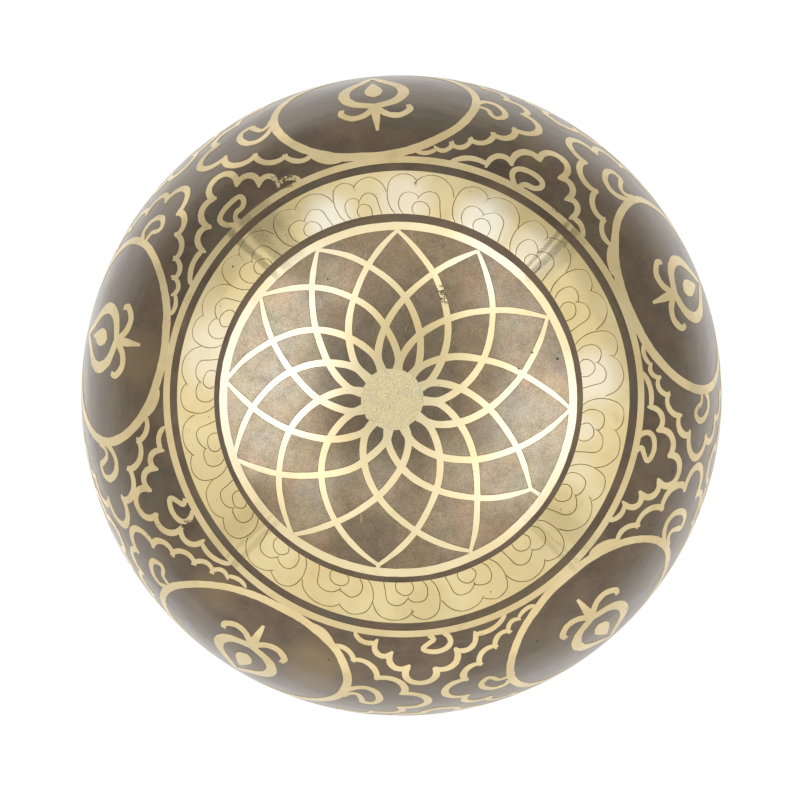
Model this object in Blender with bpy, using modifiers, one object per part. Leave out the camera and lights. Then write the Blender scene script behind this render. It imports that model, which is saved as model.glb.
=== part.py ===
"""Singing bowl: an etched bell-metal bowl with its raised bright line work.

The bowl stands upright on its flat base.  The origin is the middle of the base, Z is up through the
mouth.  Lengths are in metres.

Every raised area is laid out on the unrolled outer surface, in two lengths:
    s  length measured along the profile from the middle of the base outwards and up the wall
    x  azimuth about the bowl's axis times LAYOUT_R
and is then wrapped round the bowl at a chosen depth below the finished outer surface.
"""
import math

import bmesh
import bpy

MM = 0.001

# Outer profile: a flat base, then three tangent arcs.  Slopes are from the horizontal.
BASE_R = 34.4 * MM
ARC_RADII = (31.0 * MM, 21.9 * MM, 54.9 * MM)
ARC_SLOPES = (math.radians(28.0), math.radians(60.0), math.radians(102.0))
WALL = 2.3 * MM
RIM_ROUND = 1.0 * MM

# Layers, as depths below the finished outer surface.
RELIEF_T = 0.4 * MM
GAP = 0.3 * MM
GROUND_DEPTH = RELIEF_T + GAP
INNER_DEPTH = GROUND_DEPTH + WALL

# Facets round the turned pieces, and the slope covered by one profile facet.
TURNS = 48
FACET = math.radians(7.0)

# Layout on the unrolled surface.
LAYOUT_R = 60.0 * MM
MEDALLION_S = 67.8 * MM
MEDALLION_HALF_W = 20.5 * MM
MEDALLION_HALF_H = 19.1 * MM
MEDALLION_STROKE = 1.7 * MM
# The five frames were laid out by hand, so the pitch is not quite even.
MEDALLION_DEG = (-20.8, -95.4, -168.8, -238.8, -310.8)
MOUND_DEG = (-58.1, -131.7, -203.7, -275.0, -345.7)

# Rings, as (inner s, outer s).
LOTUS_RING = (32.75 * MM, 34.2 * MM)
PETAL_BAND = (35.9 * MM, 44.2 * MM)
SHOULDER_RING = (45.8 * MM, 47.1 * MM)
COLLAR_RING = (88.5 * MM, 89.8 * MM)
LIP_BAND = (91.4 * MM, 100.6 * MM)

# The lotus, its ring and its middle disc each sit a little off the bowl's axis.
LOTUS_OFFSET = (-1.1 * MM, 0.9 * MM)
RING_OFFSET = (-1.05 * MM, 0.55 * MM)
DISC_OFFSET = (-2.1 * MM, 0.35 * MM)
DISC_R = 6.0 * MM
HUB_R = 6.35 * MM
HUB_FOOT_R = 6.75 * MM
LATTICE_TIP_R = 31.3 * MM
LATTICE_END_R = 8.8 * MM
LATTICE_STROKE = 1.2 * MM
PETALS = 12
LATTICE_ROWS = 4
LATTICE_STEP = math.pi / PETALS

BRASS = (0.83, 0.66, 0.36)
PALE_BRASS = (0.86, 0.74, 0.47)
PATINA = (0.085, 0.070, 0.058)


def clear():
    for ob in list(bpy.data.objects):
        bpy.data.objects.remove(ob, do_unlink=True)


def collection(name):
    coll = bpy.data.collections.new(name)
    bpy.context.scene.collection.children.link(coll)
    return coll


def material(name, color, roughness, metallic):
    mat = bpy.data.materials.new(name)
    mat.use_nodes = True
    shader = mat.node_tree.nodes["Principled BSDF"]
    shader.inputs["Base Color"].default_value = (*color, 1.0)
    shader.inputs["Roughness"].default_value = roughness
    shader.inputs["Metallic"].default_value = metallic
    mat.diffuse_color = (*color, 1.0)
    return mat


def profile(s, depth=0.0):
    """Radius and height of the point at length s, depth below the finished surface."""
    if s <= BASE_R:
        return s, depth
    r, z, slope = BASE_R, 0.0, 0.0
    left = s - BASE_R
    for rad, end in zip(ARC_RADII, ARC_SLOPES):
        turn = min(left / rad, end - slope)
        if end == ARC_SLOPES[-1]:
            turn = left / rad
        r += rad * (math.sin(slope + turn) - math.sin(slope))
        z += rad * (math.cos(slope) - math.cos(slope + turn))
        slope += turn
        left -= rad * turn
        if left < 1e-9:
            break
    return r - depth * math.sin(slope), z + depth * math.cos(slope)


def full_length():
    length, slope = BASE_R, 0.0
    for rad, end in zip(ARC_RADII, ARC_SLOPES):
        length += rad * (end - slope)
        slope = end
    return length


def wrap(x, s, depth):
    """Point of the unrolled layout on the bowl."""
    r, z = profile(s, depth)
    az = x / LAYOUT_R
    return r * math.cos(az), r * math.sin(az), z


def stations(s_from, s_to):
    """Lengths along the profile, close enough together for smooth facets."""
    out = [s_from]
    slope, start = 0.0, BASE_R
    knots = []
    for rad, end in zip(ARC_RADII, ARC_SLOPES):
        parts = max(1, round((end - slope) / FACET))
        knots += [start + rad * (end - slope) * k / parts for k in range(parts + 1)]
        start += rad * (end - slope)
        slope = end
    for k in knots:
        if s_from + 0.5 * MM < k < s_to - 0.5 * MM and k > out[-1] + 0.1 * MM:
            out.append(k)
    return out + [s_to]


def mesh_object(name, verts, faces, mat, coll):
    mesh = bpy.data.meshes.new(name)
    mesh.from_pydata(verts, [], faces)
    bm = bmesh.new()
    bm.from_mesh(mesh)
    bmesh.ops.recalc_face_normals(bm, faces=bm.faces)
    bm.to_mesh(mesh)
    bm.free()
    mesh.materials.append(mat)
    ob = bpy.data.objects.new(name, mesh)
    coll.objects.link(ob)
    return ob


def turned(name, outline, closed, mat, coll):
    """Body of revolution from an outline of (radius, height)."""
    verts = [(r, 0.0, z) for r, z in outline]
    edges = [(i, i + 1) for i in range(len(verts) - 1)]
    if closed:
        edges.append((len(verts) - 1, 0))
    mesh = bpy.data.meshes.new(name)
    mesh.from_pydata(verts, edges, [])
    mesh.materials.append(mat)
    ob = bpy.data.objects.new(name, mesh)
    coll.objects.link(ob)
    screw = ob.modifiers.new("Turn", "SCREW")
    screw.axis = "Z"
    screw.angle = math.tau
    screw.steps = TURNS
    screw.render_steps = TURNS
    screw.use_merge_vertices = True
    screw.merge_threshold = 0.00005
    screw.use_normal_calculate = False
    return ob


def ring(name, span, mat, coll):
    """Raised ring between two lengths along the profile."""
    ss = stations(*span)
    outer = [profile(s) for s in reversed(ss)]
    inner = [profile(s, RELIEF_T) for s in ss]
    return turned(name, outer + inner, True, mat, coll)


def shell(mat, coll):
    """Blackened ground outside, turned floor and wall inside, rounded rim."""
    top = full_length()
    inner = [(0.0, INNER_DEPTH)] + [profile(s, INNER_DEPTH) for s in stations(BASE_R * 0.9, top - RIM_ROUND)]
    outer = [profile(s, GROUND_DEPTH) for s in reversed(stations(BASE_R, top - RIM_ROUND))]
    rim_in, rim_out = [], []
    for deg in (30.0, 60.0, 90.0):
        s = top - RIM_ROUND * (1.0 - math.sin(math.radians(deg)))
        back = RIM_ROUND * (1.0 - math.cos(math.radians(deg)))
        rim_in.append(profile(s, INNER_DEPTH - back))
        rim_out.insert(0, profile(s, GROUND_DEPTH + back))
    outline = inner + rim_in + rim_out + outer + [(0.0, GROUND_DEPTH)]
    return turned("bowl_shell", outline, False, mat, coll)


def offset_pair(prev, here, after, width):
    """Both edges of a stroke at a layout point, mitred, at true width on the surface."""
    grow = profile(here[1])[0] / LAYOUT_R
    dirs = []
    for a, b in ((prev, here), (here, after)):
        dx, ds = (b[0] - a[0]) * grow, b[1] - a[1]
        length = math.hypot(dx, ds)
        if length > 1e-9:
            dirs.append((dx / length, ds / length))
    tx = sum(d[0] for d in dirs)
    ts = sum(d[1] for d in dirs)
    length = math.hypot(tx, ts)
    nx, ns = -ts / length, tx / length
    reach = 1.0 / max(0.62, nx * -dirs[0][1] + ns * dirs[0][0])
    half = 0.5 * width * reach
    left = (here[0] + nx * half / grow, here[1] + ns * half)
    right = (here[0] - nx * half / grow, here[1] - ns * half)
    return left, right


def ribbon(name, path, closed, mat, coll):
    """Raised stroke along a path of (x, s, width), wrapped round the bowl at azimuth 0."""
    count = len(path)
    verts = []
    for i, (x, s, width) in enumerate(path):
        prev = path[i - 1] if closed or i > 0 else path[i]
        after = path[(i + 1) % count] if closed or i < count - 1 else path[i]
        left, right = offset_pair(prev, (x, s), after, width)
        verts += [wrap(*left, 0.0), wrap(*right, 0.0), wrap(*right, RELIEF_T), wrap(*left, RELIEF_T)]
    faces = []
    for i in range(count if closed else count - 1):
        a, b = 4 * i, 4 * ((i + 1) % count)
        for k in range(4):
            n = (k + 1) % 4
            faces.append((a + k, a + n, b + n, b + k))
    if not closed:
        last = 4 * (count - 1)
        faces.append((0, 3, 2, 1))
        faces.append((last, last + 1, last + 2, last + 3))
    return mesh_object(name, verts, faces, mat, coll)


def scallops(points, side):
    """Path through (x, s, width, rise, parts): an arc of the given rise runs on to the next point."""
    path = []
    for a, b in zip(points, points[1:]):
        ax, a_s, a_w, rise, parts = a
        bx, b_s, b_w = b[:3]
        dx, ds = bx - ax, b_s - a_s
        chord = math.hypot(dx, ds)
        half = 2.0 * math.atan2(2.0 * rise, chord)
        radius = 0.5 * chord / math.sin(half)
        for k in range(parts):
            t = -half + 2.0 * half * k / parts
            along = 0.5 * chord + radius * math.sin(t)
            out = side * radius * (math.cos(t) - math.cos(half))
            px = ax + (dx * along - ds * out) / chord
            ps = a_s + (ds * along + dx * out) / chord
            path.append((px * MM, ps * MM, (a_w + (b_w - a_w) * k / parts) * MM))
    path.append((points[-1][0] * MM, points[-1][1] * MM, points[-1][2] * MM))
    return path


def smooth(points, parts):
    """Catmull-Rom path through (x, s, width) given in millimetres."""
    ends = [points[0]] + points + [points[-1]]
    path = []
    for p0, p1, p2, p3 in zip(ends, ends[1:], ends[2:], ends[3:]):
        for k in range(parts):
            t = k / parts
            path.append(tuple(
                MM * 0.5 * (2 * b + (c - a) * t + (2 * a - 5 * b + 4 * c - d) * t * t
                            + (3 * b - a - 3 * c + d) * t ** 3)
                for a, b, c, d in zip(p0, p1, p2, p3)))
    path.append(tuple(MM * v for v in points[-1]))
    return path


def repeat(name, first, degs, coll):
    """Copies of one raised piece round the bowl, sharing its mesh."""
    for number, deg in enumerate(degs, 1):
        ob = bpy.data.objects.new(f"{name}_{number}", first)
        ob.rotation_euler = (0.0, 0.0, math.radians(deg))
        coll.objects.link(ob)


def motif(name, path, closed, degs, mat, coll):
    ob = ribbon(name, path, closed, mat, coll)
    mesh = ob.data
    bpy.data.objects.remove(ob, do_unlink=True)
    repeat(name, mesh, degs, coll)


def flip(points):
    """Lower motif turned half round, to hang from the collar ring; the lobe is a little longer."""
    stretch = 1.06
    foot = 47.65
    hang = COLLAR_RING[0] / MM - 0.55
    return [(-p[0] - 0.8, hang - (p[1] - foot) * stretch) + tuple(p[2:]) for p in points]


# Millimetre layouts: (x, s, stroke width, rise of the arc to the next point, facets of that arc).
MOUND = [
    (-20.6, 47.75, 0.7, 0.6, 2),
    (-12.8, 48.9, 0.9, 1.5, 3),
    (-7.5, 51.4, 1.0, 2.0, 3),
    (-2.1, 55.4, 1.2, 4.6, 6),
    (3.9, 54.3, 1.1, 1.9, 3),
    (8.0, 51.1, 1.0, 1.6, 3),
    (11.8, 48.9, 0.9, 0.6, 2),
    (16.4, 47.75, 0.7, 0.0, 0),
]
CURL = [
    (-2.2, 47.85, 0.8),
    (-4.6, 48.7, 0.9),
    (-5.0, 50.1, 1.0),
    (-3.4, 51.2, 1.1),
    (-1.0, 51.3, 1.1),
    (0.2, 50.7, 1.0),
    (-0.4, 49.6, 0.9),
    (-1.2, 48.8, 0.8),
]
CLOUD_LEFT = [
    (-14.2, 49.6, 0.8, 0.5, 2),
    (-17.6, 51.6, 0.9, 0.9, 2),
    (-21.6, 53.7, 1.0, 1.7, 3),
    (-27.2, 57.9, 1.2, 2.6, 4),
    (-32.6, 63.9, 1.3, 5.0, 7),
    (-32.4, 72.3, 1.3, 2.6, 4),
    (-27.0, 78.0, 1.2, 1.7, 3),
    (-21.6, 82.0, 1.0, 0.9, 2),
    (-17.6, 84.2, 0.9, 0.5, 2),
    (-14.2, 86.2, 0.8, 0.0, 0),
]
CLOUD_RIGHT = [
    (13.6, 49.3, 0.8, 0.4, 2),
    (17.2, 50.9, 0.8, 0.9, 2),
    (21.2, 53.0, 0.9, 1.3, 3),
    (25.6, 56.2, 1.0, 1.7, 3),
    (29.5, 60.3, 1.2, 4.0, 7),
    (29.9, 69.2, 1.2, 2.2, 3),
    (25.9, 74.6, 1.1, 1.6, 3),
    (21.4, 79.4, 1.0, 1.1, 3),
    (17.2, 83.2, 0.9, 0.6, 2),
    (13.6, 86.3, 0.8, 0.0, 0),
]
SIDE_CURL_LEFT = [
    (-22.6, 64.3, 1.2),
    (-25.0, 62.2, 1.3),
    (-27.6, 64.2, 1.3),
    (-28.1, 67.8, 1.3),
    (-26.6, 70.3, 1.2),
    (-24.9, 69.4, 1.1),
    (-24.5, 67.0, 1.0),
    (-23.0, 66.1, 1.0),
]
SIDE_CURL_RIGHT = [
    (22.5, 68.4, 1.1),
    (24.4, 68.9, 1.1),
    (26.3, 66.4, 1.1),
    (26.4, 63.7, 1.1),
    (24.9, 62.4, 1.0),
    (23.9, 63.9, 0.9),
    (22.6, 65.6, 0.9),
]
EMBLEM = [
    (0.0, 80.0, 1.4),
    (2.2, 75.8, 1.6),
    (5.3, 71.4, 1.9),
    (5.9, 66.8, 2.0),
    (4.1, 62.6, 1.8),
    (2.1, 59.2, 1.4),
    (1.4, 56.4, 1.2),
    (1.1, 54.2, 1.0),
]


def medallion_path():
    path = []
    for k in range(32):
        t = math.tau * k / 32
        s = MEDALLION_S + MEDALLION_HALF_H * math.sin(t)
        grow = profile(s)[0] / LAYOUT_R
        path.append((MEDALLION_HALF_W * math.cos(t) / grow, s, MEDALLION_STROKE))
    return path


def emblem_path():
    """Closed outline of a bud on its stem, the same both sides of its middle."""
    half = smooth(EMBLEM, 2)
    other = [(-x, s, w) for x, s, w in reversed(half[1:])]
    return half + other


def arm_point(turn, tip, side):
    """Point of the spiral arm that leaves the tip at azimuth tip, after it has swept by turn."""
    r = LATTICE_TIP_R - (LATTICE_TIP_R - LATTICE_END_R) * turn / (LATTICE_ROWS * LATTICE_STEP)
    return r * math.cos(tip + side * turn), r * math.sin(tip + side * turn)


def hub_point(az):
    """Foot of two joined arms, close to the edge of the middle disc."""
    x, y = DISC_OFFSET[0] - LOTUS_OFFSET[0], DISC_OFFSET[1] - LOTUS_OFFSET[1]
    return x + HUB_FOOT_R * math.cos(az), y + HUB_FOOT_R * math.sin(az)


def inset(points, amount):
    """Outline moved to its left by an amount, with mitred corners."""
    out = []
    for i, (x, y) in enumerate(points):
        ax, ay = points[i - 1]
        bx, by = points[(i + 1) % len(points)]
        la, lb = math.hypot(x - ax, y - ay), math.hypot(bx - x, by - y)
        n1 = (-(y - ay) / la, (x - ax) / la)
        n2 = (-(by - y) / lb, (bx - x) / lb)
        scale = amount / (1.0 + n1[0] * n2[0] + n1[1] * n2[1])
        out.append((x + (n1[0] + n2[0]) * scale, y + (n1[1] + n2[1]) * scale))
    return out


def lattice_cell(row, az):
    """Dark opening between four arms; rows count inwards from the tips, the last row ends at the hub."""
    step = LATTICE_STEP
    a, b, c = row * step, (row + 1) * step, (row + 2) * step
    down = [arm_point(t, az - a, 1) for t in (a, 0.5 * (a + b), b)]
    up = [arm_point(t, az + a, -1) for t in (b, 0.5 * (a + b))]
    if row < LATTICE_ROWS - 1:
        down += [arm_point(t, az + c, -1) for t in (0.5 * (b + c), c)]
        up.insert(0, arm_point(0.5 * (b + c), az - c, 1))
    else:
        down += [hub_point(az + step), hub_point(az - step)]
    return inset(down + up, 0.5 * LATTICE_STROKE)


def lattice(mat, coll):
    """Twelve-petal lattice of crossing arms, with the openings left as holes."""
    step = LATTICE_STEP
    rim = []
    for k in range(PETALS):
        az = 2.0 * step * k
        rim.append(arm_point(0.5 * step, az, -1))
        rim.append(arm_point(0.0, az, 1))
        rim.append(arm_point(0.5 * step, az, 1))
        rim.append(arm_point(step, az, 1))
    outlines = [inset(rim, -0.5 * LATTICE_STROKE)]
    x, y = DISC_OFFSET[0] - LOTUS_OFFSET[0], DISC_OFFSET[1] - LOTUS_OFFSET[1]
    outlines.append([(x + HUB_R * math.cos(k * step), y + HUB_R * math.sin(k * step)) for k in range(2 * PETALS)])
    for row in range(LATTICE_ROWS):
        for k in range(PETALS):
            outlines.append(lattice_cell(row, step * (2 * k + row)))
    curve = bpy.data.curves.new("lotus_lattice", "CURVE")
    curve.dimensions = "2D"
    curve.fill_mode = "BOTH"
    curve.extrude = 0.5 * RELIEF_T
    for outline in outlines:
        spline = curve.splines.new("POLY")
        spline.points.add(len(outline) - 1)
        for point, (x, y) in zip(spline.points, outline):
            point.co = (x, y, 0.0, 1.0)
        spline.use_cyclic_u = True
    curve.materials.append(mat)
    ob = bpy.data.objects.new("lotus_lattice", curve)
    ob.location = (*LOTUS_OFFSET, 0.5 * RELIEF_T)
    coll.objects.link(ob)
    return ob


def disc(mat, coll):
    outline = [(0.0, RELIEF_T), (DISC_R, RELIEF_T), (DISC_R, 0.0), (0.0, 0.0)]
    ob = turned("base_disc", outline, False, mat, coll)
    ob.location = (*DISC_OFFSET, 0.0)
    return ob


def build():
    clear()
    coll = collection("singing_bowl")
    patina = material("blackened_ground", PATINA, 0.5, 0.6)
    brass = material("bright_brass", BRASS, 0.3, 1.0)
    line = material("bright_line_work", BRASS, 0.36, 1.0)
    frosted = material("frosted_brass", PALE_BRASS, 0.6, 0.9)

    shell(patina, coll)
    disc(frosted, coll)
    lattice(line, coll)
    lotus_ring = ring("lotus_ring", LOTUS_RING, brass, coll)
    lotus_ring.location = (*RING_OFFSET, 0.0)
    ring("petal_band", PETAL_BAND, brass, coll)
    ring("shoulder_ring", SHOULDER_RING, line, coll)
    ring("collar_ring", COLLAR_RING, line, coll)
    ring("lip_band", LIP_BAND, brass, coll)

    frames = MEDALLION_DEG
    motif("medallion_ring", medallion_path(), True, frames, line, coll)
    motif("medallion_emblem", emblem_path(), True, frames, line, coll)
    motif("cloud_left", scallops(CLOUD_LEFT, 1), False, frames, line, coll)
    motif("cloud_right", scallops(CLOUD_RIGHT, -1), False, frames, line, coll)
    motif("side_curl_left", smooth(SIDE_CURL_LEFT, 2), False, frames, line, coll)
    motif("side_curl_right", smooth(SIDE_CURL_RIGHT, 2), False, frames, line, coll)

    gaps = MOUND_DEG
    motif("lower_mound", scallops(MOUND, 1), False, gaps, line, coll)
    motif("lower_curl", smooth(CURL, 2), False, gaps, line, coll)
    motif("upper_mound", scallops(flip(MOUND), 1), False, gaps, line, coll)
    motif("upper_curl", smooth(flip(CURL), 2), False, gaps, line, coll)


build()
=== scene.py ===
"""Looks of the singing bowl: dark etched ground, bright relief, engraved petals, turned inside."""

import math
import random

import bmesh
import bpy
from mathutils import Matrix, Vector, noise
from mathutils.geometry import delaunay_2d_cdt
from mathutils.kdtree import KDTree


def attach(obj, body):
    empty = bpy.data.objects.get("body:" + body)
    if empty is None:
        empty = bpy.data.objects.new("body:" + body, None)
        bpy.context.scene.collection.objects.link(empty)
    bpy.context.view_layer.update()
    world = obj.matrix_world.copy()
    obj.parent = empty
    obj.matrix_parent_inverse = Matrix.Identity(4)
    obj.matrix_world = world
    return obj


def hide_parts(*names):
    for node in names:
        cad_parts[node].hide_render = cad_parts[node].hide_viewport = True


MM = 0.001

# Outer profile in millimetres and radians: a flat base, then three tangent arcs.
BASE_R = 34.4
ARC_RADII = (31.0, 21.9, 54.9)
ARC_SLOPES = (math.radians(28.0), math.radians(60.0), math.radians(102.0))
INNER_DEPTH = 3.0
RIM_ROUND = 1.0

# Layers, as depths below the finished outer surface, in millimetres.
GROUND = 0.12
FOOT = 0.22
EDGE_DROP = 0.02
EDGE_RUN = 0.05
WALL_RUN = 0.11
# Edges of the relief that are sharper than this, in degrees, stay crisp.
SHARP_DEG = 13.0

LAYOUT_R = 60.0
MEDALLION_S = 67.5
MEDALLION_W = 20.5
MEDALLION_H = 19.8
MEDALLION_STROKE = 1.6
MEDALLION_DEG = (-20.8, -95.4, -168.8, -238.8, -310.8)
MEDALLION_LEAN = (1.0, 1.0, 1.6, 2.6, 1.2)
MOUND_DEG = (-58.1, -131.7, -203.7, -275.0, -345.7)
# Middles of the lotus, of its ring and of the disc, and radii in millimetres.
LOTUS_OFFSET = (-1.1, 0.9)
RING_OFFSET = (-0.87, 0.38)
DISC_OFFSET = (-2.1, 0.35)
RING_R = 33.8
RING_OVAL = 0.15
DISC_R = 6.0
# Petal tips of the lotus: azimuth, radius, and how far its two arms bow towards larger azimuths.
LOTUS_TIPS = (
    (-173.0, 33.5, 5.0, 3.0), (-142.0, 33.6, 4.5, 3.0), (-117.5, 33.4, 1.5, 3.5),
    (-90.0, 33.3, -1.0, 2.0), (-62.0, 33.2, 0.0, 4.5), (-29.4, 33.5, -4.5, 3.5), (2.3, 33.6, -5.0, 6.0),
    (33.0, 31.0, -4.5, 6.0), (63.8, 32.3, -4.0, 8.5), (96.6, 31.8, 5.0, 2.0), (128.5, 32.8, 5.0, 4.5),
    (160.8, 33.4, 4.8, 3.0))
# Where the arms of the tips i and i + 4 meet beside the disc: azimuth and radius.
LOTUS_HUBS = (
    (-115.0, 9.2), (-87.0, 7.8), (-58.0, 7.6), (-31.0, 7.0), (0.0, 7.8), (34.5, 7.0), (72.0, 7.2),
    (105.0, 7.5), (136.0, 8.4), (167.0, 8.7), (194.5, 9.2), (220.0, 10.0))

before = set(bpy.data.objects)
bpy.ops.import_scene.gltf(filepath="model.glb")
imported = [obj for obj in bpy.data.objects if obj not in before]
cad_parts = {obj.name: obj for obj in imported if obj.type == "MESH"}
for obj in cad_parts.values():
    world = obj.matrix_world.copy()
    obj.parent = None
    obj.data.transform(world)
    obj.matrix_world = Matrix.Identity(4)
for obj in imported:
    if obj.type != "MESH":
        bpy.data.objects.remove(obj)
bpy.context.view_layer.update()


# ---- surface of the bowl

def profile(s, depth=0.0):
    """Radius, height and slope of the point at length s from the middle of the base."""
    if s <= BASE_R:
        return s, depth, 0.0
    r, z, slope = BASE_R, 0.0, 0.0
    left = s - BASE_R
    for rad, end in zip(ARC_RADII, ARC_SLOPES):
        turn = left / rad
        if end != ARC_SLOPES[-1]:
            turn = min(turn, end - slope)
        r += rad * (math.sin(slope + turn) - math.sin(slope))
        z += rad * (math.cos(slope) - math.cos(slope + turn))
        slope += turn
        left -= rad * turn
        if left < 1e-9:
            break
    return r - depth * math.sin(slope), z + depth * math.cos(slope), slope


def ground_depth(s):
    """Depth of the etched ground, which is shallower just under the widest place."""
    return GROUND - 0.075 * math.exp(-((s - 86.2) / 2.4) ** 2)


ARC_LENGTHS = [rad * (b - a) for rad, a, b in zip(ARC_RADII, (0.0, *ARC_SLOPES), ARC_SLOPES)]
TOP_S = sum(ARC_LENGTHS, BASE_R)


def place(px, py, depth):
    """Point of the layout plane, where the distance from the origin is s, on the bowl in metres."""
    s = math.hypot(px, py)
    if s < 1e-9:
        return Vector((0.0, 0.0, depth * MM))
    r, z, _ = profile(s, depth)
    return Vector((px / s * r * MM, py / s * r * MM, z * MM))


def stretch(px, py):
    """Radial direction of the layout plane and the true length of a sideways unit there."""
    s = math.hypot(px, py)
    if s < 1e-6:
        return (1.0, 0.0), 1.0
    return (px / s, py / s), profile(s)[0] / s


def polar(s, az):
    return s * math.cos(az), s * math.sin(az)


def unroll(x, s, az0):
    """Layout plane point for a motif point (x, s) whose middle stands at azimuth az0."""
    return polar(s, az0 + x / LAYOUT_R)


def drift(x, y, seed, size=7.0):
    """Slow wander of a hand-drawn line, between about -1 and 1 both ways."""
    p = Vector((x / size, y / size, seed * 7.31))
    return noise.noise(p), noise.noise(p + Vector((31.7, 5.2, 0.0)))


# ---- paths

# Length of a step along a drawn line, in millimetres.
STEP = 0.4


def arc(a, b, rise, side, over):
    """Points (x, s, width) of an arc from a to b, run on by over at both ends."""
    dx, ds = b[0] - a[0], b[1] - a[1]
    chord = math.hypot(dx, ds)
    half = 2.0 * math.atan2(2.0 * rise, chord)
    radius = 0.5 * chord / math.sin(half)
    reach = half + over / radius
    count = max(5, int(2.0 * reach * radius / STEP))
    path = []
    for k in range(count + 1):
        f = k / count
        t = -reach + 2.0 * reach * f
        along = 0.5 * chord + radius * math.sin(t)
        out = side * radius * (math.cos(t) - math.cos(half))
        tip = min(1.0, 0.38 + 0.75 * min(f, 1.0 - f) * count * STEP)
        width = (a[2] + (b[2] - a[2]) * f) * (0.86 + 0.2 * math.sin(math.pi * f)) * tip
        path.append((a[0] + (dx * along - ds * out) / chord, a[1] + (ds * along + dx * out) / chord, width))
    return path


def smooth(points, step=STEP):
    """Catmull-Rom path through points such as (x, s) or (x, s, width)."""
    run = [points[0], *points, points[-1]]
    path = []
    for p0, p1, p2, p3 in zip(run, run[1:], run[2:], run[3:]):
        parts = max(2, int(math.dist(p1[:2], p2[:2]) / step))
        for k in range(parts):
            t = k / parts
            path.append(tuple(
                0.5 * (2 * b + (c - a) * t + (2 * a - 5 * b + 4 * c - d) * t * t
                       + (3 * b - a - 3 * c + d) * t ** 3)
                for a, b, c, d in zip(p0, p1, p2, p3)))
    return path + [tuple(points[-1])]


def edges_of(path, closed, grow_of):
    """Left and right edge of a stroke, at true width on the surface."""
    count = len(path)
    sides = []
    for i, (x, s, width) in enumerate(path):
        prev = path[i - 1] if closed or i > 0 else path[i]
        after = path[(i + 1) % count] if closed or i < count - 1 else path[i]
        grow = grow_of(x, s)
        tx, ts = (after[0] - prev[0]) * grow, after[1] - prev[1]
        length = math.hypot(tx, ts) or 1.0
        nx, ns = -ts / length, tx / length
        half = 0.5 * width
        sides.append(((x + nx * half / grow, s + ns * half), (x - nx * half / grow, s - ns * half)))
    return sides


def wall_stroke(path, az0, closed=False, seed=0.0, wander=0.16):
    """Triangles of a stroke on the wall, in the layout plane, drawn with a slightly unsteady hand."""
    drawn = []
    for x, s, width in path:
        dx, ds = drift(x, s, seed)
        fine, rough = drift(x, s, seed + 3.7, 1.6)[0], drift(x, s, seed + 6.1, 0.7)[0]
        drawn.append((x + wander * dx, s + wander * ds, width * (1.0 + 0.1 * fine + 0.07 * rough)))
    sides = edges_of(drawn, closed, lambda x, s: profile(s)[0] / LAYOUT_R)
    pairs = [(unroll(*a, az0), unroll(*b, az0)) for a, b in sides]
    return strip(pairs, closed)


def flat_stroke(path, closed=False, seed=0.0, wander=0.12, shift=LOTUS_OFFSET):
    """Triangles of a stroke given in plan (x, y, width), which holds on the flat base."""
    drawn = []
    for x, y, width in path:
        dx, dy = drift(x, y, seed)
        fine, _ = drift(x, y, seed + 3.7, 1.6)
        drawn.append((x + shift[0] + wander * dx, y + shift[1] + wander * dy, width * (1.0 + 0.08 * fine)))
    return strip(edges_of(drawn, closed, lambda x, y: 1.0), closed)


def strip(pairs, closed):
    """Two triangles for each step of a stroke."""
    count = len(pairs)
    tris = []
    for i in range(count if closed else count - 1):
        (a, b), (c, d) = pairs[i], pairs[(i + 1) % count]
        tris += [[a, b, d], [a, d, c]]
    return tris


def counter_clockwise(poly):
    area = sum(poly[i - 1][0] * poly[i][1] - poly[i][0] * poly[i - 1][1] for i in range(len(poly)))
    return poly if area > 0.0 else poly[::-1]


# ---- raised pieces

def within(x, y, poly):
    inside = False
    for (ax, ay), (bx, by) in zip(poly, poly[1:] + poly[:1]):
        if (ay > y) != (by > y) and x < ax + (bx - ax) * (y - ay) / (by - ay):
            inside = not inside
    return inside


def union(polys):
    """Points and triangles of the area covered by any of the polygons."""
    points, faces, near = [], [], {}
    for poly in map(counter_clockwise, polys):
        start = len(points)
        points += [Vector(p) for p in poly]
        faces.append(list(range(start, start + len(poly))))
        xs, ys = zip(*poly)
        for i in range(math.floor(min(xs)), math.floor(max(xs)) + 1):
            for j in range(math.floor(min(ys)), math.floor(max(ys)) + 1):
                near.setdefault((i, j), []).append(poly)
    verts, _, tris, _, _, _ = delaunay_2d_cdt(points, [], faces, 0, 1e-5, False)
    kept = []
    for t in tris:
        x, y = (sum(verts[i][k] for i in t) / 3.0 for k in (0, 1))
        if any(within(x, y, poly) for poly in near.get((math.floor(x), math.floor(y)), ())):
            kept.append(tuple(t))
    return [tuple(v) for v in verts], kept


def rim_loops(tris):
    """Border edges of a set of triangles, chained into loops with the inside on the left."""
    seen = {(t[i - 1], t[i]) for t in tris for i in range(3)}
    after = {}
    for a, b in seen:
        if (b, a) not in seen:
            after.setdefault(a, []).append(b)
    loops = []
    while after:
        start = min(after)
        loop, here = [], start
        while True:
            loop.append(here)
            nexts = after[here]
            step = nexts.pop()
            if not nexts:
                del after[here]
            here = step
            if here == start or here not in after:
                break
        if len(loop) > 2:
            loops.append(loop)
    return loops


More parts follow.
